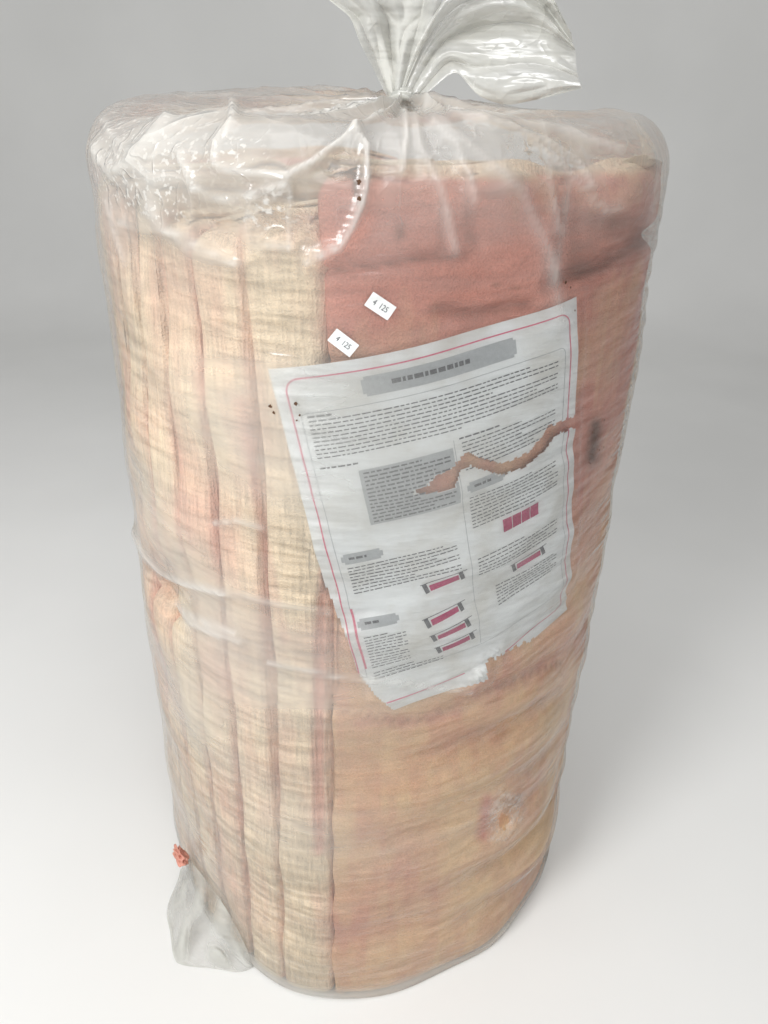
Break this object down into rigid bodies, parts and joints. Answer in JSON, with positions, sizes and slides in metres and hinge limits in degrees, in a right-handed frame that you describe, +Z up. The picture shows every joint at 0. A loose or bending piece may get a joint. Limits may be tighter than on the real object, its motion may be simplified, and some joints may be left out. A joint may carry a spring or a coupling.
{
  "type": "bagged pack of insulation batts",
  "caption": "Glass wool insulation batts standing on end in a clear polythene bag tied at the top with its own corners, with a printed sheet inside.",
  "frame": {"origin": "on the floor below the middle of the pack", "axes": "+Z up along the batts' length, X across the batts' width, +Y from the front batt to the back one"},
  "size_m": [0.7578, 0.6616, 1.388],
  "materials": {
    "wool": "soft, fibrous",
    "film": "clear, slightly milky",
    "sheet_paper": "matt",
    "label_paper": "matt"
  },
  "bodies": {
    "root": {"batt_1": "wool", "batt_2": "wool", "batt_3": "wool", "batt_4": "wool", "batt_5": "wool", "batt_6": "wool", "batt_7": "wool", "batt_8": "wool", "batt_9": "wool", "batt_10": "wool", "bag": "film", "instruction_sheet": "sheet_paper", "lot_label_1": "label_paper", "lot_label_2": "label_paper"}
  },
  "joints": []
}
